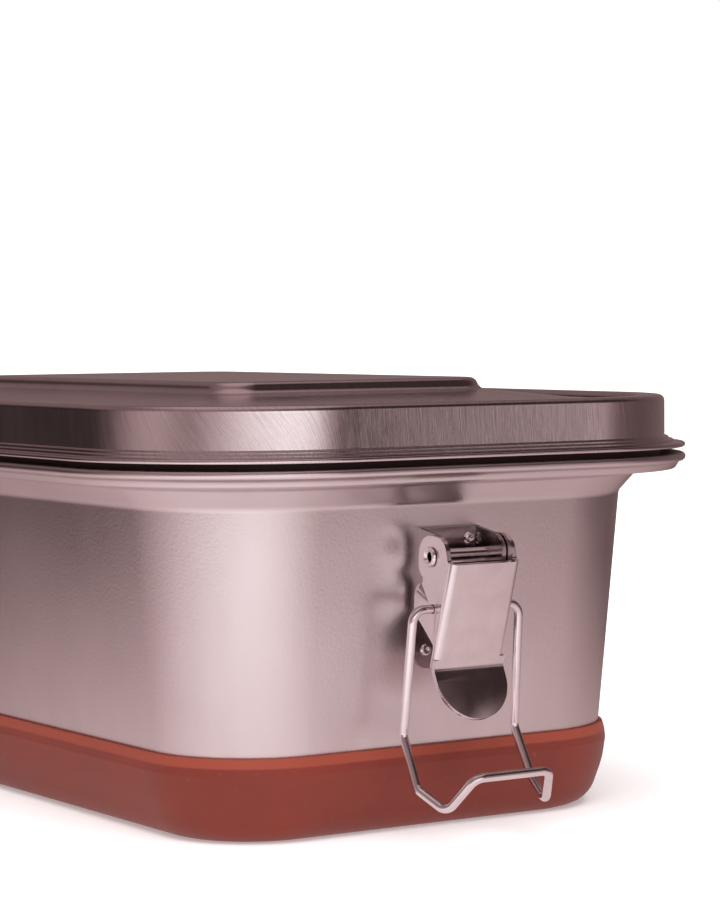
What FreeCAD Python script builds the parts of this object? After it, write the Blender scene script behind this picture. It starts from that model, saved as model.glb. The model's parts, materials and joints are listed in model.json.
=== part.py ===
import FreeCAD, Part
import math
import os
from FreeCAD import Placement, Rotation, Vector
import Sketcher

# Steel lunch box with a silicone base sleeve, a lift-off lid and two wire-bail toggle latches.
# Origin: centre of the footprint, on the table. X runs along the box, Y across it, Z up.
# Sections are drawn in (offset, height): the offset is measured outwards from the lid's skirt line.

SIZES = {
    # plan of the lid's skirt, which every section is measured from
    "skirt_length": 164.0,
    "skirt_width": 112.0,
    "skirt_corner": 31.0,
    "sheet": 0.7,
    # drawn box
    "rim_height": 62.4,
    "rim_bead": 0.72,
    "rim_reach": 3.7,
    "lip_height": 2.1,
    "lip_lean": 1.1,
    "flange_fall": 0.7,
    "flange_inset": 5.2,
    "flange_round": 1.3,
    "lip_round": 1.0,
    "neck_drop": 3.3,
    "neck_round": 1.6,
    "wall_inset": 8.15,
    "wall_taper": 5.28,
    "floor_radius": 5.5,
    "floor_margin": 1.5,
    # silicone base sleeve
    "sleeve_height": 14.6,
    "sleeve_floor": 2.0,
    "sleeve_lip": 1.55,
    "sleeve_lip_drop": 3.0,
    "sleeve_lip_round": 0.4,
    "sleeve_bevel_drop": 1.5,
    "sleeve_bevel_fall": 0.15,
    "sleeve_bevel_round": 0.3,
    "sleeve_top": 0.7,
    "sleeve_top_round": 0.25,
    "sleeve_waist": 1.35,
    "sleeve_waist_height": 7.8,
    "sleeve_waist_round": 14.0,
    "sleeve_foot": 0.7,
    "sleeve_radius": 5.5,
    "sleeve_gap": 0.05,
    # lid
    "lid_gap": 1.0,
    "lid_bead": 0.75,
    "lid_reach": 3.65,
    "flange_rise": 1.1,
    "skirt_height": 7.35,
    "skirt_round": 0.9,
    "ridge_width": 4.4,
    "ridge_radius": 1.1,
    "trough_depth": 5.4,
    "trough_width": 4.7,
    "trough_lean": 1.3,
    "trough_round": 1.2,
    "field_drop": 0.7,
    "field_inset": 14.2,
    "panel_end_inset": 34.0,
    "panel_side_inset": 28.0,
    "panel_corner": 6.0,
    "panel_foot": 1.0,
    "panel_rise": 2.1,
    "panel_lean": 20.0,
    "panel_round": 1.2,
    "dish_depth": 0.35,
    "dish_inset": 3.0,
    "dish_slope": 6.0,
    # lid seal
    "seal_gap": 0.25,
    "seal_side": 0.05,
    "seal_slack": 0.1,
    "seal_shoulder": 0.35,
    "seal_foot": 7.6,
    "seal_toe": 5.4,
    "seal_heel": 0.7,
    "seal_heel_at": 4.4,
    "seal_stem": 70.4,
    "seal_round": 0.5,
    # latch, about its pivot; the pivot stands off the plate and the plate lies on the wall
    "pivot_height": 47.0,
    "pivot_standoff": 4.8,
    "plate_sheet": 0.9,
    "plate_width": 12.0,
    "plate_top": 4.0,
    "plate_bottom": 19.8,
    "plate_corner": 2.5,
    "ear_sheet": 0.8,
    "ear_lobe": 3.1,
    "ear_root": 5.6,
    "ear_root_reach": 0.9,
    "ear_round": 0.8,
    "stud_spread": 3.9,
    "stud_high": 2.0,
    "stud_low": 16.6,
    "stud_shank": 0.7,
    "stud_head": 1.15,
    "stud_rise": 0.55,
    "stud_dimple": 0.4,
    "rivet_outer": 1.2,
    "rivet_bore": 0.8,
    "rivet_flare": 1.8,
    "rivet_lip": 0.6,
    "rivet_mouth": 0.55,
    "lever_sheet": 0.8,
    "cheek_gap": 0.2,
    "hinge_play": 0.06,
    "rivet_play": 0.1,
    "lobe": 3.5,
    "face_top_out": 6.2,
    "face_top_drop": 0.5,
    "face_foot_out": 2.4,
    "face_foot_drop": 18.5,
    "face_round": 1.3,
    "channel_round": 0.5,
    "cheek_foot": 14.8,
    "cheek_behind": 1.3,
    "tongue_out": 6.9,
    "tongue_drop": 26.3,
    "tongue_bend": 1.4,
    "tongue_lap": 1.6,
    "eye_out": 1.0,
    "eye_drop": 8.55,
    # wire bail
    "wire": 0.76,
    "wire_bend": 2.2,
    "wire_tail": 1.4,
    "leg_spread": 10.7,
    "knee_spread": 11.3,
    "knee_out": 0.65,
    "knee_drop": 29.7,
    "shoulder_spread": 11.6,
    "shoulder_out": 5.8,
    "shoulder_drop": 37.4,
    "nose_spread": 10.0,
    "nose_out": 12.2,
    "nose_drop": 39.9,
    "bar_spread": 7.4,
    "bar_out": 16.1,
    "bar_drop": 33.7,
}

doc = FreeCAD.newDocument("lunch_box")
sheet = doc.addObject("Spreadsheet::Sheet", "Sizes")
for row, (alias, value) in enumerate(SIZES.items(), start=1):
    sheet.set(f"A{row}", alias)
    sheet.set(f"B{row}", str(value))
    sheet.setAlias(f"B{row}", alias)
doc.recompute()


def size(alias):
    """The sheet's value of one size."""
    return float(sheet.get(alias))


class Latch:
    """Names and mirror turn of one latch: the right one is at +X, the left one at -X."""

    def __init__(self, side, turn):
        self.side = side
        self.turn = turn


LATCHES = [Latch("right", 0.0), Latch("left", 180.0)]
TAPER = math.tan(math.radians(size("wall_taper")))
CUT_MARGIN = 2.0


# ---- heights and offsets that several pieces share ----

def flangeOuter():
    """Outer lower corner of the box's flange, where its lip turns up."""
    out = size("rim_reach") - size("rim_bead") - size("lip_lean")
    return out, beadCentre()[1] - size("lip_height")


def beadCentre():
    """Centre of the bead that is rolled along the box's rim."""
    return size("rim_reach") - size("rim_bead"), size("rim_height") - size("rim_bead")


def flangeInner():
    """Inner lower corner of the box's flange, where the neck begins."""
    return -size("flange_inset"), flangeOuter()[1] - size("flange_fall")


def neckFoot():
    """Lower end of the neck, at the top of the tapered wall."""
    return -size("wall_inset"), flangeInner()[1] - size("neck_drop")


def wallAt(height):
    """Offset of the wall's outer face at a height."""
    out, top = neckFoot()
    return out - (top - height) * TAPER


def lidBase():
    """Height of the lid's lowest edge."""
    return size("rim_height") + size("lid_gap")


def crest():
    """Height of the lid's ridge."""
    return lidBase() + size("lid_bead") + size("flange_rise") + size("skirt_height")


def fieldHeight():
    """Height of the lid's flat field where it leaves the trough."""
    return crest() - size("field_drop")


def troughFoot():
    """Offset of the trough floor's outer end and its height."""
    return -size("ridge_width") - size("trough_lean"), crest() - size("trough_depth")


# ---- sketch helpers ----

def tangentLength(before, here, after, radius):
    """Distance from a corner to where a round of this radius leaves its two sides."""
    turn = math.radians(180.0) - (before - here).getAngle(after - here)
    return radius * math.tan(turn / 2.0)


def roundedLoop(corners):
    """Lines and tangent arcs round a closed polygon of (x, y, radius) corners."""
    points = [Vector(x, y, 0) for x, y, _ in corners]
    count = len(corners)
    legs = []
    for i, (_, _, radius) in enumerate(corners):
        before, here, after = points[i - 1], points[i], points[(i + 1) % count]
        reach = tangentLength(before, here, after, radius)
        toBefore = (before - here).normalize()
        toAfter = (after - here).normalize()
        enter, leave = here + toBefore * reach, here + toAfter * reach
        bisector = (toBefore + toAfter).normalize() if radius else Vector()
        centre = here + bisector * math.hypot(reach, radius)
        middle = centre - bisector * radius
        legs.append((enter, middle, leave, radius))
    shapes = []
    for i, (enter, middle, leave, radius) in enumerate(legs):
        if radius:
            shapes.append(Part.Arc(enter, middle, leave))
        following = legs[(i + 1) % count][0]
        if (following - leave).Length > 1e-6:
            shapes.append(Part.LineSegment(leave, following))
    return shapes


def sheetLoop(path, thickness):
    """Outline of a bent sheet: a path of (x, y, radius) and its copy one thickness to the left."""
    points = [Vector(x, y, 0) for x, y, _ in path]
    count = len(points)
    lefts = []
    for first, second in zip(points, points[1:]):
        along = (second - first).normalize()
        lefts.append(Vector(-along.y, along.x, 0))
    copy = []
    for i, (_, _, radius) in enumerate(path):
        before = lefts[max(i - 1, 0)]
        after = lefts[min(i, count - 2)]
        mitre = (before + after).normalize()
        moved = points[i] + mitre * (thickness / mitre.dot(after))
        turnsLeft = before.x * after.y - before.y * after.x > 0
        inner = max(radius - thickness, 0.1) if turnsLeft else radius + thickness
        copy.append((moved.x, moved.y, inner if radius else 0.0))
    return roundedLoop(list(path) + copy[::-1])


def originPart(body, role):
    """The body's own origin plane or axis of a role, such as XY_Plane."""
    return next(f for f in body.Origin.OriginFeatures if f.Role == role)


def newBody(name):
    body = doc.addObject("PartDesign::Body", name)
    body.Label = name
    return body


def addSketch(body, name, role, shapes=(), offset=None):
    """A sketch of given shapes on one of the body's origin planes."""
    sketch = body.newObject("Sketcher::SketchObject", name)
    sketch.AttachmentSupport = (originPart(body, role), [""])
    sketch.MapMode = "FlatFace"
    if offset is not None:
        sketch.AttachmentOffset = offset
    if shapes:
        sketch.addGeometry(list(shapes), False)
    return sketch


def addCircle(sketch, centre, radius, radiusText):
    """A circle whose radius is bound to a cell."""
    circle = Part.Circle(Vector(*centre, 0), Vector(0, 0, 1), radius)
    index = sketch.addGeometry(circle, False)
    sketch.addConstraint(Sketcher.Constraint("Radius", index, radius))
    sketch.setExpression(f"Constraints[{sketch.ConstraintCount - 1}]", radiusText)
    return index


def planSketch(body, name, endInset, sideInset, corner, height):
    """A rounded rectangle on the XY plane, inset from the skirt line; every size is an expression.

    The side at +X is split at Y = 0, so that a section drawn there meets a corner of the path.
    """
    sketch = addSketch(body, name, "XY_Plane")
    sketch.setExpression("AttachmentOffset.Base.z", height)
    a, b, r = 50.0, 30.0, 10.0  # any start; the constraints below set the real sizes
    corners = [(a, -b, r), (a, b, r), (-a, b, r), (-a, -b, r)]
    loop = roundedLoop(corners)
    arcs = [shape for shape in loop if isinstance(shape, Part.Arc)]
    lines = [shape for shape in loop if isinstance(shape, Part.LineSegment)]
    right = lines[0]
    halves = [
        Part.LineSegment(right.StartPoint, Vector(a, 0, 0)),
        Part.LineSegment(Vector(a, 0, 0), right.EndPoint),
    ]
    sketch.addGeometry([halves[1], arcs[1], lines[1], arcs[2], lines[2], arcs[3], lines[3], arcs[0]]
                       + [halves[0]], False)
    start, end, centre = 1, 2, 3
    for line in (0, 8):
        sketch.addConstraint(Sketcher.Constraint("Vertical", line))
    sketch.addConstraint(Sketcher.Constraint("Vertical", 4))
    for line in (2, 6):
        sketch.addConstraint(Sketcher.Constraint("Horizontal", line))
    for line in (0, 2, 4, 6):
        arc = line + 1
        nextLine = line + 2
        sketch.addConstraint(Sketcher.Constraint("Tangent", line, end, arc, start))
        sketch.addConstraint(Sketcher.Constraint("Tangent", arc, end, nextLine, start))
    sketch.addConstraint(Sketcher.Constraint("Coincident", 8, end, 0, start))
    sketch.addConstraint(Sketcher.Constraint("PointOnObject", 0, start, -1))
    sketch.addConstraint(Sketcher.Constraint("Symmetric", 1, centre, 5, centre, -1, 1))
    for arc in (3, 5, 7):
        sketch.addConstraint(Sketcher.Constraint("Equal", 1, arc))
    sizes = [
        (Sketcher.Constraint("Radius", 1, r), corner),
        (Sketcher.Constraint("DistanceX", 4, end, 0, end, 2 * a),
         f"Sizes.skirt_length - 2 * ({endInset})"),
        (Sketcher.Constraint("DistanceY", 7, centre, 1, centre, 2 * (b - r)),
         f"Sizes.skirt_width - 2 * ({sideInset}) - 2 * ({corner})"),
    ]
    for constraint, text in sizes:
        index = sketch.addConstraint(constraint)
        sketch.setExpression(f"Constraints[{index}]", text)
    return sketch


def sectionSketch(body, name, shapes):
    """A section at the middle of the +X side, drawn in (offset, height)."""
    sketch = addSketch(body, name, "XZ_Plane", shapes)
    sketch.setExpression("AttachmentOffset.Base.x", "Sizes.skirt_length / 2")
    return sketch


def addPipe(body, name, profile, spine):
    pipe = body.newObject("PartDesign::AdditivePipe", name)
    pipe.Profile = profile
    pipe.Spine = (spine, [f"Edge{i + 1}" for i in range(9)])
    return pipe


def addPad(body, name, profile, length, midplane=False, taper=None, reverse=False):
    """A pad whose length, and taper if given, are expressions."""
    pad = body.newObject("PartDesign::Pad", name)
    pad.Profile = profile
    pad.Midplane = midplane
    pad.Reversed = reverse
    pad.setExpression("Length", length)
    if taper:
        pad.setExpression("TaperAngle", taper)
    return pad


def addPocket(body, name, profile, length, midplane=False, reverse=False):
    """A pocket whose depth is an expression; stops the build if it cuts nothing."""
    doc.recompute()
    before = body.Shape.Volume
    pocket = body.newObject("PartDesign::Pocket", name)
    pocket.Profile = profile
    pocket.Midplane = midplane
    pocket.Reversed = reverse
    pocket.setExpression("Length", length)
    doc.recompute()
    if not pocket.Shape.Volume < before:
        raise RuntimeError(f"{name} cuts nothing")
    return pocket


def addLoft(body, name, kind, lower, upper):
    loft = body.newObject(f"PartDesign::{kind}", name)
    loft.Profile = lower
    loft.Sections = [upper]
    loft.Ruled = True
    return loft


def edgesWhere(shape, test):
    """Names of the edges whose points all pass a test."""
    names = []
    for index, edge in enumerate(shape.Edges, start=1):
        if all(test(p) for p in edge.discretize(3)):
            names.append(f"Edge{index}")
    return names


def addFillet(body, name, base, test, radius):
    """Rounds the edges of a feature that pass a test; the radius is an expression."""
    doc.recompute()
    fillet = body.newObject("PartDesign::Fillet", name)
    fillet.Base = (base, edgesWhere(base.Shape, test))
    fillet.setExpression("Radius", radius)
    return fillet


def skirtSpine(body):
    return planSketch(body, body.Name + "_path", "0", "0", "Sizes.skirt_corner", "0")


# ---- box and its sleeve ----

def makeBox():
    """Drawn steel box: floor, tapered wall, neck, flange and lip in one sheet, with a rolled bead."""
    body = newBody("box_body")
    under = size("sleeve_floor")
    flatEnd = wallAt(under) - size("floor_radius") - size("floor_margin")
    path = [
        (flatEnd, under, 0.0),
        (wallAt(under), under, size("floor_radius")),
        (*neckFoot(), size("neck_round")),
        (*flangeInner(), size("flange_round")),
        (*flangeOuter(), size("lip_round")),
        (*beadCentre(), 0.0),
    ]
    spine = skirtSpine(body)
    section = sectionSketch(body, "wall_section", sheetLoop(path, size("sheet")))
    addPipe(body, "wall", section, spine)
    bead = sectionSketch(body, "bead_section", [])
    addCircle(bead, beadCentre(), size("rim_bead"), "Sizes.rim_bead")
    addPipe(body, "bead", bead, spine)
    inset = -flatEnd
    outline = planSketch(body, "floor_outline", f"{inset}", f"{inset}",
                         f"Sizes.skirt_corner - {inset}", "Sizes.sleeve_floor")
    addPad(body, "floor", outline, "Sizes.sheet")
    return body


def makeSleeve():
    """Silicone sleeve over the foot of the box, with a bevelled lip and a rounded foot."""
    body = newBody("base_sleeve")
    gap = size("sleeve_gap")
    top = size("sleeve_height")
    floorTop = size("sleeve_floor") - gap
    flatEnd = wallAt(0) - size("floor_radius") - size("floor_margin")
    waist = size("sleeve_waist_height")
    lip = top - size("sleeve_lip_drop")
    lipOut = wallAt(lip) + size("sleeve_lip")
    bevel = lipOut - size("sleeve_bevel_fall")
    corners = [
        (flatEnd, 0.0, 0.0),
        (wallAt(0) - size("sleeve_foot"), 0.0, size("sleeve_radius")),
        (wallAt(waist) + size("sleeve_waist"), waist, size("sleeve_waist_round")),
        (lipOut, lip, size("sleeve_lip_round")),
        (bevel, top - size("sleeve_bevel_drop"), size("sleeve_bevel_round")),
        (wallAt(top) + size("sleeve_top"), top, size("sleeve_top_round")),
        (wallAt(top) + gap, top, 0.0),
        (wallAt(floorTop) + gap, floorTop, size("floor_radius") + gap),
        (flatEnd, floorTop, 0.0),
    ]
    section = sectionSketch(body, "sleeve_section", roundedLoop(corners))
    addPipe(body, "sleeve_wall", section, skirtSpine(body))
    inset = -flatEnd
    outline = planSketch(body, "sleeve_floor_outline", f"{inset}", f"{inset}",
                         f"Sizes.skirt_corner - {inset}", "0")
    addPad(body, "sleeve_floor_pad", outline, "Sizes.sleeve_floor - Sizes.sleeve_gap")
    return body


# ---- lid ----

def makeLid():
    """Pressed lid: beaded flange, skirt, ridge, trough, crowned field and a raised, dished panel."""
    body = newBody("lid_shell")
    beadOut = size("lid_reach") - size("lid_bead")
    beadUp = lidBase() + size("lid_bead")
    troughOut, troughUp = troughFoot()
    troughEnd = troughOut - size("trough_width")
    fieldStart = troughEnd - size("trough_lean")
    radius = size("ridge_radius")
    path = [
        (beadOut, beadUp, 0.0),
        (0.0, beadUp + size("flange_rise"), size("skirt_round")),
        (0.0, crest(), radius),
        (-size("ridge_width"), crest(), radius),
        (troughOut, troughUp, size("trough_round")),
        (troughEnd, troughUp, size("trough_round")),
        (fieldStart, fieldHeight(), radius),
        (-size("field_inset"), fieldHeight(), 0.0),
    ]
    spine = skirtSpine(body)
    section = sectionSketch(body, "lid_section", sheetLoop(path, size("sheet")))
    addPipe(body, "lid_edge", section, spine)
    bead = sectionSketch(body, "lid_bead_section", [])
    addCircle(bead, (beadOut, beadUp), size("lid_bead"), "Sizes.lid_bead")
    addPipe(body, "lid_bead", bead, spine)

    field = fieldHeight()
    foot = field + size("panel_foot") + size("field_drop")
    under = field - size("sheet")
    rim = ("Sizes.field_inset", "Sizes.field_inset", "Sizes.skirt_corner - Sizes.field_inset")
    panel = ("Sizes.panel_end_inset", "Sizes.panel_side_inset", "Sizes.panel_corner")
    inner = (f"{panel[0]} + Sizes.sheet", f"{panel[1]} + Sizes.sheet", f"{panel[2]} - Sizes.sheet")
    addPad(body, "field_plate", planSketch(body, "field_outline", *rim, f"{under}"), "Sizes.sheet")
    addLoft(body, "field_crown", "AdditiveLoft",
            planSketch(body, "crown_foot", *rim, f"{field}"),
            planSketch(body, "crown_top", *panel, f"{foot}"))
    raised = addPad(body, "panel", planSketch(body, "panel_outline", *panel, f"{foot}"),
                    "Sizes.panel_rise", taper="-Sizes.panel_lean")
    top = foot + size("panel_rise")
    onTop = lambda p: abs(p.z - top) < 1e-4
    addFillet(body, "panel_edge", raised, onTop, "Sizes.panel_round")
    lean = size("panel_rise") * math.tan(math.radians(size("panel_lean")))
    wide = lean + size("dish_inset")
    deep = wide + size("dish_slope")
    dish = [
        planSketch(body, name, f"Sizes.panel_end_inset + {inset}",
                   f"Sizes.panel_side_inset + {inset}", "Sizes.panel_corner / 2", f"{height}")
        for name, inset, height in (("dish_rim", wide, top), ("dish_foot", deep, top - size("dish_depth")))
    ]
    addLoft(body, "dish", "SubtractiveLoft", *dish)
    addLoft(body, "crown_hollow", "SubtractiveLoft",
            planSketch(body, "hollow_foot", *rim, f"{under}"),
            planSketch(body, "hollow_top", *panel, f"{foot - size('sheet')}"))
    roof = size("panel_rise") - size("dish_depth")
    addPocket(body, "panel_hollow",
              planSketch(body, "panel_hollow_outline", *inner, f"{foot - size('sheet')}"),
              f"{roof}", reverse=True)
    return body


def makeSeal():
    """Silicone seal: a stem up inside the ridge and a foot below the trough."""
    body = newBody("lid_seal")
    side = size("seal_side")
    troughOut, troughUp = troughFoot()
    floorUnder = troughUp - size("sheet") - side
    outer = -size("sheet") - side
    flangeTop = size("sheet") + size("seal_gap")
    slope = size("flange_fall") / (flangeOuter()[0] - flangeInner()[0])
    bottomAt = lambda out: flangeInner()[1] + (out - flangeInner()[0]) * slope + flangeTop
    stemIn = -size("ridge_width") + size("sheet") + side + size("seal_slack")
    footIn = -size("seal_foot")
    heel = bottomAt(-size("seal_heel_at"))
    soft = size("seal_round")
    corners = [
        (outer, bottomAt(outer), soft),
        (outer, size("seal_stem"), soft),
        (stemIn, size("seal_stem"), soft),
        (troughOut + size("sheet") + size("seal_shoulder"), floorUnder, 0.5 * soft),
        (footIn, floorUnder, soft),
        (footIn, heel + size("seal_heel"), soft),
        (-size("seal_toe"), heel, soft),
    ]
    section = sectionSketch(body, "seal_section", roundedLoop(corners))
    addPipe(body, "seal_ring", section, skirtSpine(body))
    return body


# ---- latches ----

def latchPlacement(latch):
    """The latch's frame: origin on its pivot, X out from the wall, Z up along it."""
    standoff = size("plate_sheet") + size("pivot_standoff")
    out = wallAt(size("pivot_height")) + standoff / math.cos(math.radians(size("wall_taper")))
    pivot = Vector(size("skirt_length") / 2.0 + out, 0, size("pivot_height"))
    side = Placement(pivot, Rotation(Vector(0, 1, 0), size("wall_taper")))
    return Placement(Vector(), Rotation(Vector(0, 0, 1), latch.turn)).multiply(side)


def plateFace():
    """X of the plate's outer face in the latch's frame."""
    return -size("pivot_standoff")


def makePlate(latch):
    """Latch plate: a flat back on the wall and two ears folded out to hold the pivot."""
    body = newBody(f"latch_plate_{latch.side}")
    half = size("plate_width") / 2.0
    corner = size("plate_corner")
    flat = addSketch(body, "plate_outline", "YZ_Plane", roundedLoop([
        (-half, size("plate_top"), 0.0),
        (-half, -size("plate_bottom"), corner),
        (half, -size("plate_bottom"), corner),
        (half, size("plate_top"), 0.0),
    ]))
    flat.setExpression("AttachmentOffset.Base.z", "-Sizes.pivot_standoff - Sizes.plate_sheet")
    for spread in (-size("stud_spread"), size("stud_spread")):
        for height in (size("stud_high"), -size("stud_low")):
            addCircle(flat, (spread, height), size("stud_shank"), "Sizes.stud_shank")
    addPad(body, "plate_back", flat, "Sizes.plate_sheet")
    lobe = size("ear_lobe")
    back = plateFace() - size("plate_sheet")
    ear = roundedLoop([
        (back, size("plate_top"), 0.0),
        (back, -size("ear_root"), 0.0),
        (plateFace() + size("ear_root_reach"), -size("ear_root"), size("ear_round")),
        (lobe, -lobe, lobe - 0.3),
        (lobe, lobe + 0.2, lobe - 0.1),
    ])
    for sign in (-1, 1):
        name = "ear_near" if sign < 0 else "ear_far"
        sketch = addSketch(body, f"{name}_outline", "XZ_Plane", ear)
        addCircle(sketch, (0, 0), size("rivet_outer"), "Sizes.rivet_outer")
        sketch.setExpression("AttachmentOffset.Base.z", f"{-sign} * Sizes.plate_width / 2")
        addPad(body, name, sketch, "Sizes.ear_sheet", reverse=sign < 0)
    return body


def makeStuds(latch):
    """Four welded studs that hold the plate: a shank through it and a low dimpled head."""
    face = plateFace()
    shank, head, rise = size("stud_shank"), size("stud_head"), size("stud_rise")
    back = face - size("plate_sheet")
    middle, shankBack, shankFront = Vector(back, 0, 0), Vector(back, 0, shank), Vector(face, 0, shank)
    brim, crown = Vector(face, 0, head), Vector(face + 0.8 * rise, 0, 0.85 * head)
    lip, hollow = Vector(face + rise, 0, size("stud_dimple")), Vector(face + 0.4 * rise, 0, 0)
    profile = Part.Wire(Part.Shape([
        Part.LineSegment(middle, shankBack),
        Part.LineSegment(shankBack, shankFront),
        Part.LineSegment(shankFront, brim),
        Part.Arc(brim, crown, lip),
        Part.LineSegment(lip, hollow),
        Part.LineSegment(hollow, middle),
    ]).Edges)
    stud = Part.Face(profile).revolve(Vector(), Vector(1, 0, 0), 360)
    solids = []
    for spread in (-size("stud_spread"), size("stud_spread")):
        for height in (size("stud_high"), -size("stud_low")):
            copy = stud.copy()
            copy.translate(Vector(0, spread, height))
            solids.append(copy)
    feature = doc.addObject("Part::Feature", f"plate_studs_{latch.side}")
    feature.Label = feature.Name
    feature.Shape = Part.makeCompound(solids)
    return feature


def makeRivet(latch):
    """Tubular pivot rivet, flared outside both cheeks of the lever."""
    body = newBody(f"pivot_rivet_{latch.side}")
    bore, outer, flare = size("rivet_bore"), size("rivet_outer"), size("rivet_flare")
    under = size("plate_width") / 2.0 + size("cheek_gap") + size("lever_sheet") + size("rivet_play")
    end = under + size("rivet_lip")
    half = [(bore, end - size("rivet_mouth"), 0.3), (0.5 * (bore + flare), end, 0.25), (flare, end - 0.15, 0.15),
            (flare, under, 0.0), (outer, under, 0.0)]
    mirrored = [(x, -y, r) for x, y, r in half[::-1]]
    sketch = addSketch(body, "rivet_section", "XY_Plane", roundedLoop(half + mirrored))
    turn = body.newObject("PartDesign::Revolution", "rivet_turn")
    turn.Profile = sketch
    turn.ReferenceAxis = (originPart(body, "Y_Axis"), [""])
    turn.Angle = 360
    return body


def makeLever(latch):
    """Lever: a channel of two lobed cheeks and a flat face that ends in a bent, rounded tongue."""
    body = newBody(f"lever_{latch.side}")
    thick = size("lever_sheet")
    inside = size("plate_width") / 2.0 + size("cheek_gap")
    half = inside + thick
    top = Vector(size("face_top_out"), 0, -size("face_top_drop"))
    foot = Vector(size("face_foot_out"), 0, -size("face_foot_drop"))
    tip = Vector(size("tongue_out"), 0, -size("tongue_drop"))
    slope = (foot - top).normalize()
    inward = Vector(slope.z, 0, -slope.x)

    lean = math.degrees(math.atan2(slope.x, slope.z)) + 180.0
    length = (foot - top).Length + 2 * size("lobe")
    deep = size("face_top_out") + 2 * size("lobe") + CUT_MARGIN
    bend, outside = size("channel_round"), size("face_round")
    channel = addSketch(body, "channel_section", "XY_Plane", roundedLoop([
        (0.0, -half, outside), (0.0, half, outside), (-deep, half, 0.0),
        (-deep, inside, 0.0), (-thick, inside, bend), (-thick, -inside, bend),
        (-deep, -inside, 0.0), (-deep, -half, 0.0),
    ]), Placement(foot, Rotation(Vector(0, 1, 0), lean)))
    addPad(body, "channel", channel, f"{length}")

    outline = cheekOutline(top, foot, slope, inward)
    reach = length + CUT_MARGIN
    frame = roundedLoop([(-reach, -reach, 0), (reach, -reach, 0), (reach, reach, 0), (-reach, reach, 0)])
    around = addSketch(body, "cheek_outline", "XZ_Plane", outline + frame)
    through = f"{2 * half + CUT_MARGIN}"
    addPocket(body, "cheeks", around, through, midplane=True)

    holes = addSketch(body, "cheek_holes", "XZ_Plane")
    eye = (size("eye_out"), -size("eye_drop"))
    addCircle(holes, (0, 0), size("rivet_outer"), "Sizes.rivet_outer + Sizes.hinge_play")
    addCircle(holes, eye, size("wire"), "Sizes.wire + Sizes.hinge_play")
    addPocket(body, "bores", holes, through, midplane=True)

    start = foot - slope * size("tongue_lap")
    fold = [(tip.x, tip.z, 0.0), (foot.x, foot.z, size("tongue_bend")), (start.x, start.z, 0.0)]
    strip = addSketch(body, "tongue_strip", "XZ_Plane", sheetLoop(fold, thick))
    addPad(body, "tongue", strip, f"{2 * half}", midplane=True)
    addTongueRound(body, foot, tip, half)
    return body


def cheekOutline(top, foot, slope, inward):
    """Outline of the cheeks and the face behind its front plane, as seen along the pivot."""
    lobe = size("lobe")
    eyeOut, eyeDrop = size("eye_out"), size("eye_drop")
    behind = inward * size("cheek_behind")
    cheekEnd = top + slope * ((size("cheek_foot") - size("face_top_drop")) / -slope.z) + behind
    footIn = foot + behind
    return roundedLoop([
        (top.x + 1.0, top.z - 0.2, 0.0),
        (top.x - 1.4, top.z + 0.3, 0.6),
        (lobe + 0.2, lobe, lobe - 0.5),
        (-lobe, lobe, lobe - 0.2),
        (-lobe, -lobe + 0.2, lobe - 0.8),
        (-0.3, -lobe - 0.9, 0.6),
        (eyeOut - 5.2, 3.4 - eyeDrop, 2.2),
        (eyeOut - 5.3, -eyeDrop - 1.5, 1.6),
        (eyeOut - 2.9, -eyeDrop - 3.0, 1.0),
        (cheekEnd.x, cheekEnd.z, 1.0),
        (footIn.x, footIn.z, 0.0),
        (foot.x, foot.z, 0.0),
        (foot.x + 1.0, foot.z, 0.0),
    ])


def addTongueRound(body, foot, tip, half):
    """Cuts the tongue's end to a half circle drawn in the tongue's own plane."""
    along = tip - foot
    tilt = -math.degrees(math.atan2(along.x, -along.z))
    shoulder = half - along.Length
    left, right = Vector(-half, shoulder, 0), Vector(half, shoulder, 0)
    wide, low = half + CUT_MARGIN, -along.Length - CUT_MARGIN
    away = [Vector(wide, shoulder, 0), Vector(wide, low, 0), Vector(-wide, low, 0), Vector(-wide, shoulder, 0)]
    loop = [Part.Arc(left, Vector(0, -along.Length, 0), right)]
    for first, second in zip([right] + away, away + [left]):
        loop.append(Part.LineSegment(first, second))
    place = Placement(Vector(0, foot.z, foot.x), Rotation(Vector(1, 0, 0), tilt))
    sketch = addSketch(body, "tongue_end", "YZ_Plane", loop, place)
    addPocket(body, "tongue_round", sketch, f"{2 * along.Length}", midplane=True)


def bailPoints():
    """Corners of the bent wire, from its end in one cheek round to the other."""
    inside = size("plate_width") / 2.0 + size("cheek_gap") - size("wire_tail")
    half = [
        (size("eye_out"), inside, -size("eye_drop")),
        (size("eye_out"), size("leg_spread"), -size("eye_drop")),
        (size("knee_out"), size("knee_spread"), -size("knee_drop")),
        (size("shoulder_out"), size("shoulder_spread"), -size("shoulder_drop")),
        (size("nose_out"), size("nose_spread"), -size("nose_drop")),
        (size("bar_out"), size("bar_spread"), -size("bar_drop")),
    ]
    mirrored = [(x, -y, z) for x, y, z in half[::-1]]
    return [Vector(*p) for p in half + mirrored]


def bentWire(points, radius):
    """Straight runs through the points, joined by arcs of one radius."""
    edges = []
    start = points[0]
    for before, here, after in zip(points, points[1:], points[2:]):
        reach = tangentLength(before, here, after, radius)
        toBefore = (before - here).normalize()
        toAfter = (after - here).normalize()
        enter, leave = here + toBefore * reach, here + toAfter * reach
        bisector = (toBefore + toAfter).normalize()
        middle = here + bisector * (math.hypot(reach, radius) - radius)
        edges.append(Part.LineSegment(start, enter).toShape())
        edges.append(Part.Arc(enter, middle, leave).toShape())
        start = leave
    edges.append(Part.LineSegment(start, points[-1]).toShape())
    return Part.Wire(edges)


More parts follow.
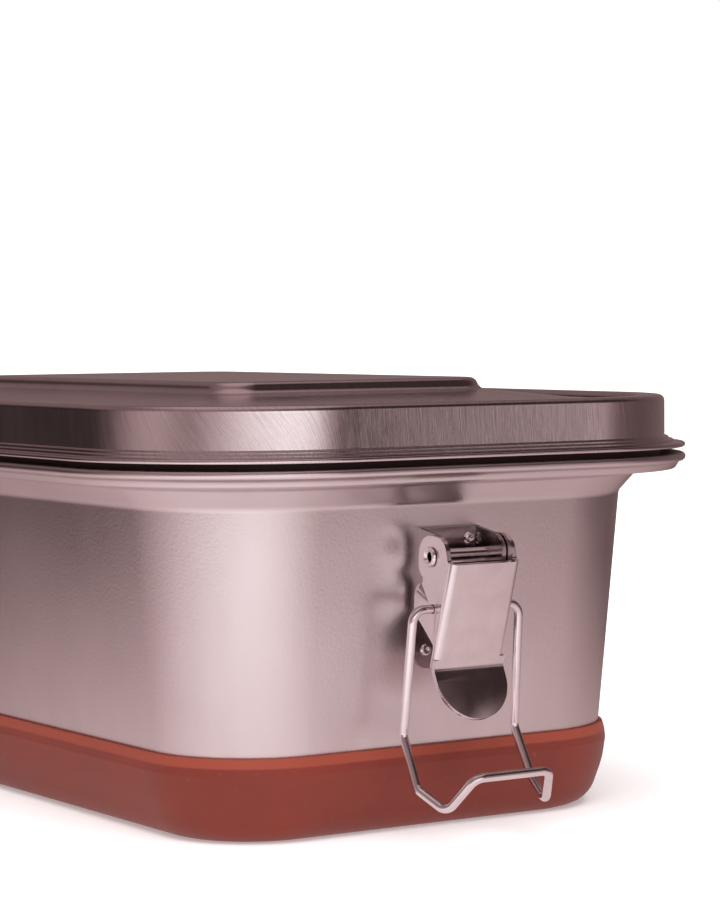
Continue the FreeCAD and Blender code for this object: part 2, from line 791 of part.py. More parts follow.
def makeBail(latch):
    """Wire bail: a bent spring wire swept along its path, its ends inside the lever's cheeks."""
    points = bailPoints()
    spine = doc.addObject("Part::Feature", f"bail_path_{latch.side}")
    spine.Shape = bentWire(points, size("wire_bend"))
    profile = doc.addObject("Part::Circle", f"bail_section_{latch.side}")
    profile.setExpression("Radius", "Sizes.wire")
    profile.Placement = Placement(points[0], Rotation(Vector(0, 0, 1), points[1] - points[0]))
    bail = doc.addObject("Part::Sweep", f"bail_{latch.side}")
    bail.Label = bail.Name
    bail.Sections = [profile]
    bail.Spine = (spine, [f"Edge{i + 1}" for i in range(len(spine.Shape.Edges))])
    bail.Solid = True
    bail.Frenet = False
    return bail


# ---- build, test and write ----

pieces = [makeBox(), makeSleeve(), makeLid(), makeSeal()]
for latch in LATCHES:
    for make in (makePlate, makeStuds, makeRivet, makeLever, makeBail):
        piece = make(latch)
        doc.recompute()
        piece.Placement = latchPlacement(latch)
        pieces.append(piece)
doc.recompute()

for item in doc.Objects:
    if {"Invalid", "Error"} & set(item.State):
        raise RuntimeError(f"{item.Label} failed: {item.State}")
for piece in pieces:
    shape = piece.Shape
    if shape.isNull() or not shape.isValid() or not shape.Solids:
        raise RuntimeError(f"{piece.Label} has no valid solid")
    print(f"{piece.Label}: {len(shape.Solids)} solid(s), {shape.Volume:.1f} mm3")

os.makedirs("parts", exist_ok=True)
for piece in pieces:
    piece.Shape.exportStep(f"parts/{piece.Label}.step")
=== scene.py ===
import json
import math
import bmesh
import bpy
import numpy as np
from mathutils import Matrix, Vector


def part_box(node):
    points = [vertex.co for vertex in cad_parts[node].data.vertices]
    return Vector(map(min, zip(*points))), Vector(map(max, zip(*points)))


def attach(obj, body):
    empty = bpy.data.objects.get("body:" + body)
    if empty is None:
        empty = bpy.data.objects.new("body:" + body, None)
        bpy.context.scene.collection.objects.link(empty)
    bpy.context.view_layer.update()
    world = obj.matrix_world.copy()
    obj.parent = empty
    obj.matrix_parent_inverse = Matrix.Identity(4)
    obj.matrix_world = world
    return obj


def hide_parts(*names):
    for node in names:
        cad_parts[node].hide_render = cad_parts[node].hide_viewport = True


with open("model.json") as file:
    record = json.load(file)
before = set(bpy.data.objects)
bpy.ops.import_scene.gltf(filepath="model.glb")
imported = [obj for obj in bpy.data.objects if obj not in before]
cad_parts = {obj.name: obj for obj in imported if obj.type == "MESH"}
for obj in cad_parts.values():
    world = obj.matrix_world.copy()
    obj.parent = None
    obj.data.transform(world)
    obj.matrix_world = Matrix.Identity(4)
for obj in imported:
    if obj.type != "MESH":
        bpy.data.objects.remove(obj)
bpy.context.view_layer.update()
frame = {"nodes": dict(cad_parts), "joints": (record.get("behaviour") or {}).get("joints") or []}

mm = 0.001
leastRound = 0.02           # mm, the smallest round in a section
leastInnerRound = 0.1       # mm, the smallest round on the inner face of a bent sheet
print("frame loaded:", len(frame["nodes"]), "nodes")

plan = {
    "lidReach": 3.65,      # how far the lid's edge stands out of its skirt
    "corner": 31.0,        # corner radius of the skirt line
    "cornerSteps": 30,     # mesh steps round one corner
    "longSteps": 26,       # mesh steps along a long side
    "shortSteps": 18,      # mesh steps along a short side
    "middle": 1.0,         # innermost ring of the box and the sleeve, from the middle line
    "leastCorner": 2.0,    # smallest corner radius of their rings
    "capRun": 1.0,         # length of a closing fan in the UV map
}
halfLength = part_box("lid_shell")[1].x / mm - plan["lidReach"]
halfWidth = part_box("lid_shell")[1].y / mm - plan["lidReach"]
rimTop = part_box("box_body")[1].z / mm
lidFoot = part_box("lid_shell")[0].z / mm
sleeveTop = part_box("base_sleeve")[1].z / mm
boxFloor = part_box("box_body")[0].z / mm


# One ring is four quarter circles joined by straight sides, anticlockwise from the middle of the
# +X side; each station is a mix of the corner before it and the corner after it.
def ringStations():
    quarter = np.linspace(0, math.pi / 2, plan["cornerSteps"] + 1)
    signs = np.array([[1, 1], [-1, 1], [-1, -1], [1, -1]], float)
    rows = []
    for k in range(4):
        turn = quarter + k * math.pi / 2
        here, following = signs[k], signs[(k + 1) % 4]
        ones = np.ones_like(turn)
        corner = np.stack([here[0] * ones, here[1] * ones, np.cos(turn), np.sin(turn)] * 2
                          + [0 * ones], 1)
        steps = plan["longSteps"] if k % 2 == 0 else plan["shortSteps"]
        t = np.linspace(0, 1, steps + 1)[1:-1]
        out = (math.cos((k + 1) * math.pi / 2), math.sin((k + 1) * math.pi / 2))
        side = np.stack([here[0] + 0 * t, here[1] + 0 * t, out[0] + 0 * t, out[1] + 0 * t,
                         following[0] + 0 * t, following[1] + 0 * t, out[0] + 0 * t, out[1] + 0 * t,
                         t], 1)
        rows += [corner, side]
    return np.vstack(rows)


stations = ringStations()


# Point = corner centre + corner radius x outward direction, mixed along the straight sides.
def ringPoints(halfX, halfY, radius, height):
    s = stations[None]
    def place(sx, sy, dx, dy):
        x = sx * (halfX - radius)[:, None] + radius[:, None] * dx
        y = sy * (halfY - radius)[:, None] + radius[:, None] * dy
        return np.stack([x, y], -1)
    first = place(s[..., 0], s[..., 1], s[..., 2], s[..., 3])
    second = place(s[..., 4], s[..., 5], s[..., 6], s[..., 7])
    t = s[..., 8:9]
    flat = first * (1 - t) + second * t
    z = np.broadcast_to(height[:, None, None], flat.shape[:2] + (1,))
    return np.concatenate([flat, z], -1)


# Polyline round a path of (x, y, radius) corners: each corner is a tangent arc, and each straight
# run has a point close to both of its ends, so that smooth shading stays inside the arc.
def roundedPath(corners, near=0.12, step=9.0):
    points = np.array([c[:2] for c in corners], float)
    out = [points[:1]]
    for i in range(1, len(corners) - 1):
        before, here, after = points[i - 1], points[i], points[i + 1]
        toBefore = (before - here) / np.linalg.norm(before - here)
        toAfter = (after - here) / np.linalg.norm(after - here)
        angle = math.acos(np.clip(toBefore @ toAfter, -1, 1))
        turn = math.pi - angle
        radius = max(corners[i][2], leastRound)
        reach = radius * math.tan(turn / 2)
        bisector = (toBefore + toAfter) / np.linalg.norm(toBefore + toAfter)
        centre = here + bisector * math.hypot(reach, radius)
        enter, leave = here + toBefore * reach, here + toAfter * reach
        start = enter - centre
        side = np.sign(start[0] * (leave - centre)[1] - start[1] * (leave - centre)[0])
        count = max(3, int(math.degrees(turn) / step) + 1)
        a = np.linspace(0, turn, count) * side
        arc = centre + np.stack([start[0] * np.cos(a) - start[1] * np.sin(a),
                                 start[0] * np.sin(a) + start[1] * np.cos(a)], 1)
        out += [(enter + toBefore * near)[None], arc, (leave + toAfter * near)[None]]
    out.append(points[-1:])
    return np.vstack(out)


# The same bent sheet one thickness to the left of its path; a round grows or shrinks with it.
def sheetBeside(corners, thickness):
    points = np.array([c[:2] for c in corners], float)
    along = np.diff(points, axis=0)
    along /= np.linalg.norm(along, axis=1)[:, None]
    left = np.stack([-along[:, 1], along[:, 0]], 1)
    before, after = np.vstack([left[:1], left]), np.vstack([left, left[-1:]])
    mitre = before + after
    mitre /= np.linalg.norm(mitre, axis=1)[:, None]
    moved = points + mitre * (thickness / (mitre * after).sum(1))[:, None]
    turnsLeft = before[:, 0] * after[:, 1] - before[:, 1] * after[:, 0] > 0
    radii = np.array([c[2] for c in corners])
    radii = np.where(turnsLeft, np.maximum(radii - thickness, leastInnerRound), radii + thickness)
    return [(x, y, r) for (x, y), r in zip(moved, radii)]


def arcPoints(centre, radius, start, end, count):
    a = np.radians(np.linspace(start, end, count))
    return np.stack([centre[0] + radius * np.cos(a), centre[1] + radius * np.sin(a)], 1)


def meshObject(name, points, faces, uvs=None):
    mesh = bpy.data.meshes.new(name)
    sizes = np.array([len(f) for f in faces])
    flat = np.concatenate([np.asarray(f, np.int64) for f in faces]) if len(set(sizes)) > 1 \
        else np.asarray(faces).ravel()
    mesh.vertices.add(len(points))
    mesh.vertices.foreach_set("co", (np.asarray(points) * mm).astype(np.float32).ravel())
    mesh.loops.add(len(flat))
    mesh.loops.foreach_set("vertex_index", flat.astype(np.int32))
    mesh.polygons.add(len(sizes))
    starts = np.concatenate([[0], np.cumsum(sizes)[:-1]])
    mesh.polygons.foreach_set("loop_start", starts.astype(np.int32))
    mesh.polygons.foreach_set("loop_total", sizes.astype(np.int32))
    mesh.polygons.foreach_set("use_smooth", np.ones(len(sizes), bool))
    mesh.update(calc_edges=True)
    if uvs is not None:
        layer = mesh.uv_layers.new(name="run")
        layer.data.foreach_set("uv", (uvs * mm).astype(np.float32).ravel())
    mesh.validate()
    item = bpy.data.objects.new(name, mesh)
    bpy.context.scene.collection.objects.link(item)
    return item


# Rings joined by quads; a first or last ring that is a single point becomes a fan. The UV is the
# distance round the ring and the distance along the section, in metres. Faces are turned so that
# the enclosed volume is positive.
def ringSurface(name, rings, capStart=True, capEnd=True, slant=None):
    rows, columns = rings.shape[:2]
    points = rings.reshape(-1, 3)
    i, j = np.meshgrid(np.arange(rows - 1), np.arange(columns), indexing="ij")
    following = (j + 1) % columns
    quads = np.stack([i * columns + j, i * columns + following,
                      (i + 1) * columns + following, (i + 1) * columns + j], -1).reshape(-1, 4)
    stepRound = np.linalg.norm(np.roll(rings, -1, 1) - rings, axis=-1)
    widest = stepRound.sum(1).argmax()
    around = np.concatenate([[0], np.cumsum(stepRound[widest])])
    alongAll = np.concatenate([[0], np.cumsum(np.linalg.norm(np.diff(rings, axis=0), axis=-1).mean(1))])
    lean = np.zeros(columns + 1) if slant is None else np.append(slant, slant[0])
    def run(j, i):
        return np.stack([around[j] + lean[j] * (alongAll[i] - alongAll[widest]), alongAll[i]], -1)
    uv = np.stack([run(j, i), run(j + 1, i), run(j + 1, i + 1), run(j, i + 1)], 2).reshape(-1, 4, 2)
    j0 = np.arange(columns)
    j1 = (j0 + 1) % columns
    fans, fanUv = [], []
    for cap, row, flip in ((capStart, 0, True), (capEnd, rows - 1, False)):
        if not cap:
            continue
        centre = len(points)
        points = np.vstack([points, rings[row].mean(0)])
        ring = row * columns
        order = (ring + j1, ring + j0) if flip else (ring + j0, ring + j1)
        fans.append(np.stack([*order, np.full(columns, centre)], 1))
        across = alongAll[row]
        ends = (around[1:], around[:-1]) if flip else (around[:-1], around[1:])
        level = np.full(columns, across)
        tip = np.stack([(ends[0] + ends[1]) / 2, level + plan["capRun"]], -1)
        fanUv.append(np.stack([np.stack([ends[0], level], -1), np.stack([ends[1], level], -1), tip], 1))
    corners = [points[quads[:, k]] for k in range(4)]
    volume = sum((np.cross(a, b) * c).sum() for a, b, c in
                 ((corners[0], corners[1], corners[2]), (corners[0], corners[2], corners[3])))
    for fan in fans:
        volume += (np.cross(points[fan[:, 0]], points[fan[:, 1]]) * points[fan[:, 2]]).sum()
    if volume < 0:
        quads, uv = quads[:, ::-1], uv[:, ::-1]
        fans, fanUv = [f[:, ::-1] for f in fans], [u[:, ::-1] for u in fanUv]
    faces = list(quads) + [row for fan in fans for row in fan]
    allUv = np.vstack([uv.reshape(-1, 2)] + [u.reshape(-1, 2) for u in fanUv])
    return meshObject(name, points, faces, allUv)


# A section of (offset, height) carried round the skirt line.
def carriedRound(name, section):
    offset, height = section[:, 0], section[:, 1]
    radius = np.maximum(plan["corner"] + offset, plan["leastCorner"])
    rings = ringPoints(halfLength + offset, halfWidth + offset, radius, height)
    return ringSurface(name, rings)


# A Principled material whose fixed values sit on the shader's own sockets.
class Shader:
    def __init__(self, name, **values):
        self.material = bpy.data.materials.new(name)
        self.material.use_nodes = True
        self.tree = self.material.node_tree
        self.shader = self.tree.nodes["Principled BSDF"]
        for key, value in values.items():
            self.shader.inputs[key].default_value = value
        self.coords = self.tree.nodes.new("ShaderNodeTexCoord")

    def node(self, kind, inputs=None, **settings):
        made = self.tree.nodes.new(kind)
        for key, value in settings.items():
            setattr(made, key, value)
        for key, value in (inputs or {}).items():
            if isinstance(value, bpy.types.NodeSocket):
                self.tree.links.new(value, made.inputs[key])
            else:
                made.inputs[key].default_value = value
        return made

    def mapped(self, source, scale):
        made = self.node("ShaderNodeMapping", {"Vector": source, "Scale": scale})
        return made.outputs["Vector"]

    def noise(self, vector, scale, detail=3.0, rough=0.5):
        made = self.node("ShaderNodeTexNoise", {"Vector": vector, "Scale": scale, "Detail": detail,
                                                "Roughness": rough})
        return made.outputs["Fac"]

    def spread(self, value, low, high, start=0.3, end=0.7):
        made = self.node("ShaderNodeMapRange", {"Value": value, "From Min": start, "From Max": end,
                                                "To Min": low, "To Max": high})
        return made.outputs["Result"]

    def mix(self, factor, first, second):
        made = self.node("ShaderNodeMix", data_type="RGBA")
        pairs = ((made.inputs[0], factor), (made.inputs[6], first), (made.inputs[7], second))
        for socket, value in pairs:
            if isinstance(value, bpy.types.NodeSocket):
                self.tree.links.new(value, socket)
            else:
                socket.default_value = value
        return made.outputs[2]

    def math(self, operation, first, second=0.0):
        made = self.node("ShaderNodeMath", operation=operation)
        for socket, value in ((made.inputs[0], first), (made.inputs[1], second)):
            if isinstance(value, bpy.types.NodeSocket):
                self.tree.links.new(value, socket)
            else:
                socket.default_value = value
        return made.outputs[0]

    def bump(self, height, strength, distance, normal=None):
        inputs = {"Height": height, "Strength": strength, "Distance": distance}
        if normal is not None:
            inputs["Normal"] = normal
        return self.node("ShaderNodeBump", inputs).outputs["Normal"]

    def set(self, socket, value):
        self.tree.links.new(value, self.shader.inputs[socket])


steelTones = {
    "bright": (0.75, 0.675, 0.69, 1),
    "deep": (0.67, 0.60, 0.61, 1),
    "warm": (0.70, 0.615, 0.61, 1),
    "wear": (0.82, 0.76, 0.77, 1),
    "groove": (0.46, 0.40, 0.41, 1),
    # the two plate tones are painted shade: the latch steel drawn darker for the plate, as if it lay in
    # shade
    "plate": (0.38, 0.32, 0.325, 1),
    "plateShadeDeep": (0.30, 0.25, 0.255, 1),
}


satinFinish = {
    "cloud": 34.0,              # scale of each pattern, from broad to fine
    "patch": 160.0,
    "peel": 620.0,
    "grain": 1900.0,
    "speck": 2600.0,
    "roughness": (0.27, 0.37),
    "grainBump": (0.42, 0.00006),       # strength and depth in metres
    "peelBump": (0.05, 0.00016),
}


def satinSteel():
    f = satinFinish
    look = Shader("satin_steel", Metallic=1.0)
    place = look.coords.outputs["Object"]
    cloud = look.noise(place, f["cloud"], 3.0)
    patch = look.noise(look.mapped(place, (1, 1, 0.35)), f["patch"], 4.0)
    grain = look.noise(place, f["grain"], 2.0, 0.6)
    peel = look.noise(place, f["peel"], 2.0)
    tone = look.mix(look.spread(cloud, 0, 1), steelTones["deep"], steelTones["bright"])
    tone = look.mix(look.spread(patch, 0, 0.25, 0.35, 0.75), tone, steelTones["warm"])
    speck = look.spread(look.noise(place, f["speck"], 1.0), 0.0, 0.16, 0.62, 0.75)
    look.set("Base Color", look.mix(speck, tone, steelTones["wear"]))
    look.set("Roughness", look.spread(look.math("ADD", look.math("MULTIPLY", cloud, 0.5),
                                                look.math("MULTIPLY", patch, 0.5)), *f["roughness"]))
    fine = look.bump(grain, *f["grainBump"])
    look.set("Normal", look.bump(peel, *f["peelBump"], fine))
    return look.material


lidFinish = {
    "lines": (5200, 130, 1),    # brushing: scale across it and along it
    "broad": (1100, 60, 1),
    "cloud": 40.0,
    "peel": 420.0,
    "roughness": (0.12, 0.23),
    "linesBump": (0.38, 0.00003),
    "peelBump": (0.08, 0.0002),
}


def brushedLid():
    f = lidFinish
    look = Shader("brushed_lid", Metallic=1.0, Anisotropic=0.35)
    run = look.coords.outputs["UV"]
    place = look.coords.outputs["Object"]
    lines = look.noise(look.mapped(run, f["lines"]), 1.0, 2.0, 0.6)
    broad = look.noise(look.mapped(run, f["broad"]), 1.0, 3.0, 0.6)
    cloud = look.noise(place, f["cloud"], 3.0)
    tone = look.mix(look.spread(cloud, 0, 1), steelTones["deep"], steelTones["bright"])
    tone = look.mix(look.spread(broad, 0, 0.35, 0.5, 0.8), tone, steelTones["wear"])
    tone = look.mix(look.spread(lines, 0, 0.45, 0.45, 0.75), tone, steelTones["groove"])
    look.set("Base Color", tone)
    look.set("Roughness", look.spread(look.math("ADD", look.math("MULTIPLY", broad, 0.6),
                                                look.math("MULTIPLY", cloud, 0.4)), *f["roughness"]))
    tangent = look.node("ShaderNodeTangent", direction_type="UV_MAP", uv_map="run").outputs["Tangent"]
    look.set("Tangent", tangent)
    fine = look.bump(lines, *f["linesBump"])
    look.set("Normal", look.bump(look.noise(place, f["peel"], 2.0), *f["peelBump"], fine))
    return look.material


latchFinish = {
    "drawn": 2600.0,
    "cloud": 240.0,
    "folds": 1500.0,
    "roughness": (0.13, 0.21),
    "cheek": (0.00690, 0.00698),        # the cheeks' outer faces start here, in metres from the middle
    "drawnBump": (0.10, 0.00003),
    "foldsBump": (0.30, 0.00006),
}


# The two tones differ between the lever and its plate, and the plate's darker tones are painted shade;
# folds show on the cheeks alone.
def latchSteel(name, low, high):
    f = latchFinish
    look = Shader(name, Metallic=1.0)
    place = look.coords.outputs["Object"]
    drawn = look.noise(look.mapped(place, (1, 1, 0.12)), f["drawn"], 2.0)
    cloud = look.noise(place, f["cloud"], 3.0)
    tone = look.mix(look.spread(cloud, 0, 1), steelTones[low], steelTones[high])
    look.set("Base Color", tone)
    look.set("Roughness", look.spread(cloud, *f["roughness"]))
    split = look.node("ShaderNodeSeparateXYZ", {"Vector": place}).outputs
    cheek = look.spread(look.math("ABSOLUTE", split["Y"]), 0.0, 1.0, *f["cheek"])
    folds = look.noise(look.mapped(place, (0.4, 1, 2.2)), f["folds"], 1.0)
    marks = look.math("MULTIPLY", cheek, folds)
    fine = look.bump(drawn, *f["drawnBump"])
    look.set("Normal", look.bump(marks, *f["foldsBump"], fine))
    return look.material


wireFinish = {
    "drawn": (9000, 500, 1),    # scale round the wire and along it
    "cloud": 300.0,
    "roughness": (0.10, 0.20),
    "drawnBump": (0.12, 0.00002),
}


def polishedWire():
    f = wireFinish
    look = Shader("polished_wire", Metallic=1.0)
    run = look.coords.outputs["UV"]
    place = look.coords.outputs["Object"]
    drawn = look.noise(look.mapped(run, f["drawn"]), 1.0, 2.0)
    cloud = look.noise(place, f["cloud"], 3.0)
    look.set("Base Color", look.mix(look.spread(cloud, 0, 1), steelTones["bright"], steelTones["wear"]))
    look.set("Roughness", look.spread(cloud, *f["roughness"]))
    look.set("Normal", look.bump(drawn, *f["drawnBump"]))
    return look.material


siliconeTones = {
    "clay": (0.222, 0.036, 0.022, 1),
    "dark": (0.180, 0.030, 0.020, 1),
    # the lip tone is a painted highlight: the bevelled top lip drawn paler, as if lit from above
    "lip": (0.345, 0.072, 0.044, 1),
    "dust": (0.40, 0.15, 0.11, 1),
    "seal": (0.060, 0.020, 0.015, 1),
    "sealDark": (0.040, 0.014, 0.011, 1),
}


sleeveFinish = {
    "cloud": 55.0,
    "dust": 950.0,
    "grain": 3200.0,
    "lipHighlightFade": (1.75, 1.45),    # where the lip's painted highlight, a paler tone, starts and is full, down from the top, mm
    "roughness": (0.46, 0.58),
    "grainBump": (0.10, 0.00006),
}


def siliconeSleeve():
    f = sleeveFinish
    look = Shader("terracotta_silicone", **{"Sheen Weight": 0.08, "Sheen Roughness": 0.5,
                                            "Specular IOR Level": 0.25, "Sheen Tint": (1.0, 0.8, 0.74, 1)})
    place = look.coords.outputs["Object"]
    cloud = look.noise(place, f["cloud"], 4.0)
    grain = look.noise(place, f["grain"], 2.0)
    dust = look.noise(place, f["dust"], 2.0, 0.7)
    height = look.node("ShaderNodeSeparateXYZ", {"Vector": place}).outputs["Z"]
    # painted highlight: towards the top the silicone is mixed to the paler lip tone, as if light fell on
    # the bevelled lip
    start, full = [(sleeveTop - drop) * mm for drop in f["lipHighlightFade"]]
    lip = look.spread(height, 0.0, 1.0, start, full)
    tone = look.mix(look.spread(cloud, 0, 1), siliconeTones["dark"], siliconeTones["clay"])
    tone = look.mix(look.math("MULTIPLY", lip, 0.8), tone, siliconeTones["lip"])
    specks = look.spread(dust, 0.0, 0.22, 0.66, 0.78)
    look.set("Base Color", look.mix(specks, tone, siliconeTones["dust"]))
    look.set("Roughness", look.spread(cloud, *f["roughness"]))
    look.set("Normal", look.bump(grain, *f["grainBump"]))
    return look.material


sealFinish = {
    "cloud": 80.0,
    "grain": 2600.0,
    "roughness": (0.50, 0.62),
    "grainBump": (0.10, 0.00005),
}


def sealSilicone():
    f = sealFinish
    look = Shader("seal_silicone", **{"Sheen Weight": 0.2, "Specular IOR Level": 0.35})
    place = look.coords.outputs["Object"]
    cloud = look.noise(place, f["cloud"], 3.0)
    look.set("Base Color", look.mix(look.spread(cloud, 0, 1), siliconeTones["sealDark"],
                                    siliconeTones["seal"]))
    look.set("Roughness", look.spread(cloud, *f["roughness"]))
    look.set("Normal", look.bump(look.noise(place, f["grain"], 2.0), *f["grainBump"]))
    return look.material


satinMaterial = satinSteel()
lidMaterial = brushedLid()
latchMaterial = latchSteel("latch_steel", "deep", "bright")
# the plate's material has painted shade: a darker copy of the latch steel
plateShadeMaterial = latchSteel("plate_steel_painted_shade", "plateShadeDeep", "plate")
wireMaterial = polishedWire()
sleeveMaterial = siliconeSleeve()
sealMaterial = sealSilicone()
print("materials made")


def finishPiece(piece, material, body, slotName, *nodes):
    piece.data.materials.clear()
    piece.data.materials.append(material)
    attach(piece, body)
    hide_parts(*nodes)


boxShape = {
    "sheet": 0.7,
    "bead": 0.72,           # radius of the rolled rim
    "lipHeight": 2.1,
    "lipLean": 1.1,
    "flangeFall": 0.7,
    "flangeInset": 5.2,
    "neckDrop": 3.3,
    "wallInset": 8.15,
    "taper": 5.28,          # degrees
    "floorRadius": 5.5,
    "neckRound": 1.6,
    "flangeRound": 1.3,
    "lipRound": 0.7,
    "beadStart": 8,         # degrees that the bead leaves to the lip, outside and inside
    "beadEnd": 12,
    "beadSteps": 30,
}
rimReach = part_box("box_body")[1].x / mm - halfLength
beadCentre = (rimReach - boxShape["bead"], rimTop - boxShape["bead"])
flangeOuter = (beadCentre[0] - boxShape["lipLean"], beadCentre[1] - boxShape["lipHeight"])
flangeInner = (-boxShape["flangeInset"], flangeOuter[1] - boxShape["flangeFall"])
neckFoot = (-boxShape["wallInset"], flangeInner[1] - boxShape["neckDrop"])


def wallAt(height):
    return neckFoot[0] - (neckFoot[1] - height) * math.tan(math.radians(boxShape["taper"]))


# Outer face from the middle of the floor up to the rim, three quarters of a circle round the bead,
# and the inner face back down, one sheet inside the outer one.
def makeBox():
    s = boxShape
    sheetSide = [
        (-halfWidth + plan["middle"], boxFloor, 0.0),
        (wallAt(boxFloor), boxFloor, s["floorRadius"]),
        (*neckFoot, s["neckRound"]),
        (*flangeInner, s["flangeRound"]),
        (*flangeOuter, s["lipRound"]),
        (*beadCentre, 0.0),
    ]
    inside = sheetBeside(sheetSide, s["sheet"])
    lean = math.degrees(math.atan2(s["lipHeight"], s["lipLean"]))
    bead = arcPoints(beadCentre, s["bead"], lean + 180 + s["beadStart"], lean + 450 - s["beadEnd"],
                     s["beadSteps"])
    section = np.vstack([roundedPath(sheetSide)[:-1], bead, roundedPath(inside[::-1])[1:]])
    return carriedRound("boxShell", section)


finishPiece(makeBox(), satinMaterial, "box", "satin_steel", "box_body")
print("box made")


sleeveShape = {
    "gap": 0.05,            # between the sleeve and the steel
    "radius": 5.5,
    "footInset": 0.7,
    "waistHeight": 7.8,
    "waist": 1.35,
    "lipDrop": 3.0,
    "lip": 1.55,
    "lipLean": 0.15,
    "bevel": 1.5,
    "edge": 0.7,
    "sideRound": 14.0,
    "lipFootRound": 0.4,
    "bevelRound": 0.3,
    "topRound": 0.25,
    "innerRound": 0.06,
}


# Closed section: underside, round foot, swelling side, bevelled lip, then down the steel wall.
def makeSleeve():
    s = sleeveShape
    middle = -halfWidth + plan["middle"]
    lip = sleeveTop - s["lipDrop"]
    top = sleeveTop
    bottom = boxFloor - s["gap"]
    section = [
        (middle, 0.0, 0.0),
        (wallAt(0) - s["footInset"], 0.0, s["radius"]),
        (wallAt(s["waistHeight"]) + s["waist"], s["waistHeight"], s["sideRound"]),
        (wallAt(lip) + s["lip"], lip, s["lipFootRound"]),
        (wallAt(lip) + s["lip"] - s["lipLean"], top - s["bevel"], s["bevelRound"]),
        (wallAt(top) + s["edge"], top, s["topRound"]),
        (wallAt(top) + s["gap"], top, s["innerRound"]),
        (wallAt(bottom) + s["gap"], bottom, s["radius"] + s["gap"]),
        (middle, bottom, 0.0),
    ]
    return carriedRound("baseSleeve", roundedPath(section, near=0.1))


finishPiece(makeSleeve(), sleeveMaterial, "box", "terracotta_silicone", "base_sleeve")
print("sleeve made")


lidShape = {
    "sheet": 0.7,
    "curl": 0.42,           # radius of the curled edge
    "skirtFoot": 1.85,      # height of the skirt's foot above the lid's edge
    "skirtHeight": 7.35,
    "ridgeWidth": 4.4,
    "ridgeRadius": 1.1,
    "troughDepth": 5.4,
    "troughWidth": 4.7,
    "troughLean": 1.3,
    "fieldDrop": 0.7,
    "fieldInset": 14.2,
    "panelEnd": 34.0,       # inset of the raised panel at the short sides
    "panelSide": 28.0,
    "panelCorner": 6.0,
    "panelRise": 2.1,
    "panelLean": 20.0,      # degrees
    "panelRound": 1.2,
    "panelFootRound": 1.5,
    "crown": 1.7,           # rise of the field from the trough to the panel
    "dishInset": 3.0,
    "dishDepth": 0.35,
    "dishSlope": 6.0,       # width of the slope down into the dish
    "dishRound": 6.0,
    "dishRimRound": 2.0,
    "fieldRound": 4.0,
    "troughRound": 1.2,
    "footRound": 0.22,
    "footLift": 0.10,
    "stepHeight": 0.43,     # the two small steps pressed below the skirt
    "stepOut": (0.66, 1.50),
    "stepLean": 0.1,
    "stepFall": (0.02, 0.06),
    "stepRound": 0.13,
    "edgeBack": (0.75, 0.12),       # where the steel meets the curl, in from its middle
    "edgeSink": 0.12,
    "edgeRound": (0.2, 0.1),
    "curlTurn": (100, -150),        # degrees
    "curlSteps": 30,
    "curlInside": (0.05, 0.1),      # where the curl's end meets the under face
    "hem": (0.15, 0.75),            # under face at the skirt's foot: out from the wall, down
    "hemRound": 0.5,
    "innerRound": 0.45,
    "innerShare": 0.8,              # share of the sheet by which the faces under ridge and trough move
    "innerTroughRound": 1.7,
    "innerPanelRound": 0.4,
    "middle": 2.0,                  # innermost ring, from the middle line
    "middleCorner": 1.0,
    "past": 10.0,                   # the corner radius is read this far beyond the skirt
    "brushLean": -0.08,             # slant of the brushing, along the sides and in the corners
    "brushLeanCorner": -0.7,
}


# Insets of the ends and of the sides differ on the raised panel: the section is drawn by the inset
# of the ends, and the inset of the sides and the corner radius are read off against it.
def lidRings(section):
    s = lidShape
    inset = -section[:, 0]
    middle = halfWidth - s["middle"]
    keys = [-s["past"], 0.0, s["fieldInset"], s["panelEnd"], middle + s["panelEnd"] - s["panelSide"]]
    sides = [-s["past"], 0.0, s["fieldInset"], s["panelSide"], middle]
    corner = plan["corner"]
    radii = [corner + s["past"], corner, corner - s["fieldInset"], s["panelCorner"], s["middleCorner"]]
    side = np.interp(inset, keys, sides)
    radius = np.interp(inset, keys, radii)
    return ringPoints(halfLength - inset, halfWidth - side, radius, section[:, 1])


